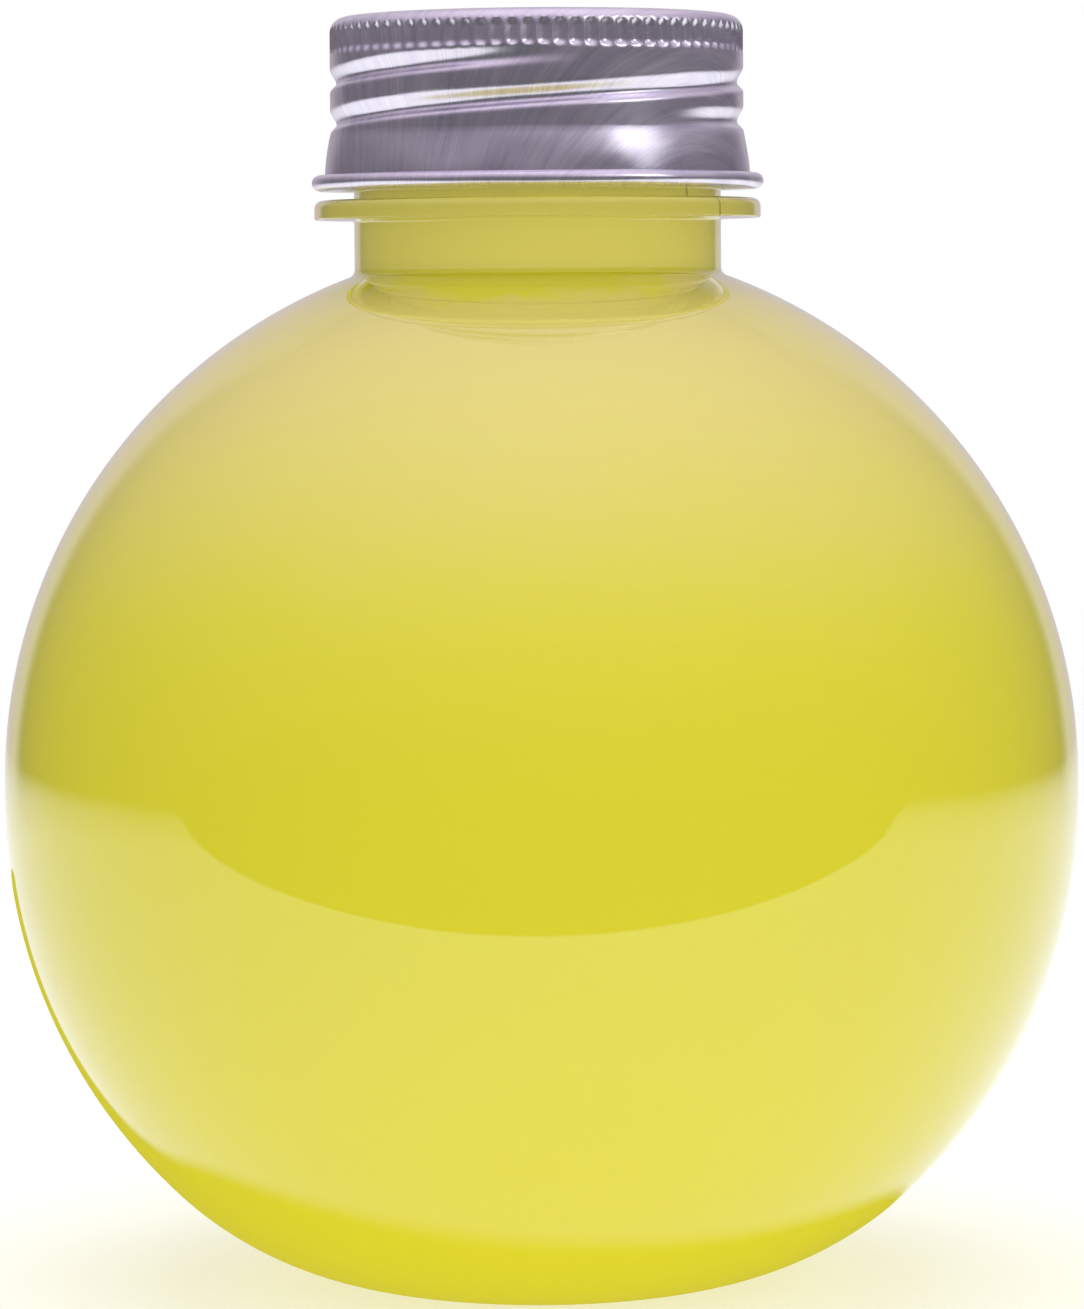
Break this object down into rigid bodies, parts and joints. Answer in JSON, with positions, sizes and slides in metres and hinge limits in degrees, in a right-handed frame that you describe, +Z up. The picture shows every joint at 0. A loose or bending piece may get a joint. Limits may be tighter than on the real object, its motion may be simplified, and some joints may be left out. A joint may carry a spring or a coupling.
{
  "type": "ball-shaped screw-cap bottle",
  "caption": "Clear ball-shaped blown bottle full of yellow liquid, with a short threaded neck, a support ring and a knurled aluminium screw cap that unscrews.",
  "frame": {"origin": "middle of the base, on the surface that the bottle stands on", "axes": "+Z up along the axis of the ball, the neck and the cap; the picture looks along +Y"},
  "size_m": [0.1028, 0.1028, 0.1212],
  "materials": {
    "clear_plastic": "clear, blown, glossy",
    "yellow_liquid": "slightly milky yellow liquid",
    "bare_aluminium": "bare rolled sheet, fine scratches",
    "white_foam": "foamed sheet, matt"
  },
  "bodies": {
    "bottle": {"bottle": "clear_plastic", "liquid": "yellow_liquid"},
    "liner": {"liner": "white_foam"},
    "cap": {"cap": "bare_aluminium"}
  },
  "joints": [
    {"name": "cap_lift", "type": "slide", "parent": "bottle", "child": "liner", "axis": [0, 0, 1], "range_m": [0, 0.0162]},
    {"name": "cap_turn", "type": "hinge", "parent": "liner", "child": "cap", "pos_m": [0, 0, 0.1212], "axis": [0, 0, 1], "range_deg": [0, 810]}
  ],
  "couplings": [
    {"joint": "cap_lift", "follows": "cap_turn", "m_per_rad": 0.0011459}
  ]
}
